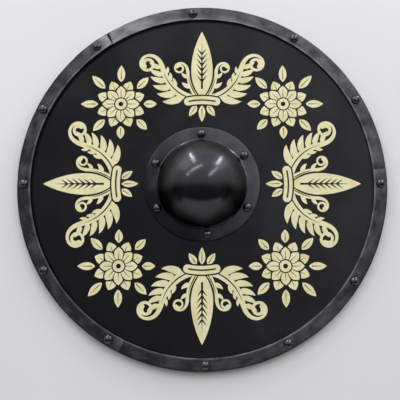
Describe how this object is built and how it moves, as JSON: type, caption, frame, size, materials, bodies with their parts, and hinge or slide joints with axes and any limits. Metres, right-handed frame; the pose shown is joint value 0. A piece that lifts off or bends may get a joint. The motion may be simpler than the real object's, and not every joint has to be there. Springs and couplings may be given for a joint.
{
  "type": "wooden round shield",
  "caption": "Round wooden shield with a black painted face, a riveted steel rim, a domed hollow steel boss over the hand hole and a steel strap grip behind.",
  "frame": {"origin": "under the middle of the shield, on the surface that it lies on", "axes": "+Z out of the painted face, +Y to the top of the face, +X to its right as seen from the front"},
  "size_m": [0.61, 0.61, 0.0802],
  "materials": {
    "board": "flat black paint with pale gold painted figures",
    "rim": "smoke-blackened, hammered and burnished",
    "boss": "blackened and polished",
    "rivet": "blackened",
    "grip": "forged, blackened"
  },
  "bodies": {
    "root": {"board": "board", "rim_strip_left": "rim", "rim_strip_lower_right": "rim", "rim_strip_upper_right": "rim", "boss": "boss", "grip": "grip", "rim_rivet_01": "rivet", "rim_rivet_02": "rivet", "rim_rivet_03": "rivet", "rim_rivet_04": "rivet", "rim_rivet_05": "rivet", "rim_rivet_06": "rivet", "rim_rivet_07": "rivet", "rim_rivet_08": "rivet", "rim_rivet_09": "rivet", "rim_rivet_10": "rivet", "rim_rivet_11": "rivet", "rim_rivet_12": "rivet", "boss_rivet_1": "rivet", "boss_rivet_2": "rivet", "boss_rivet_3": "rivet", "boss_rivet_4": "rivet", "boss_rivet_5": "rivet", "boss_rivet_6": "rivet"}
  },
  "joints": []
}
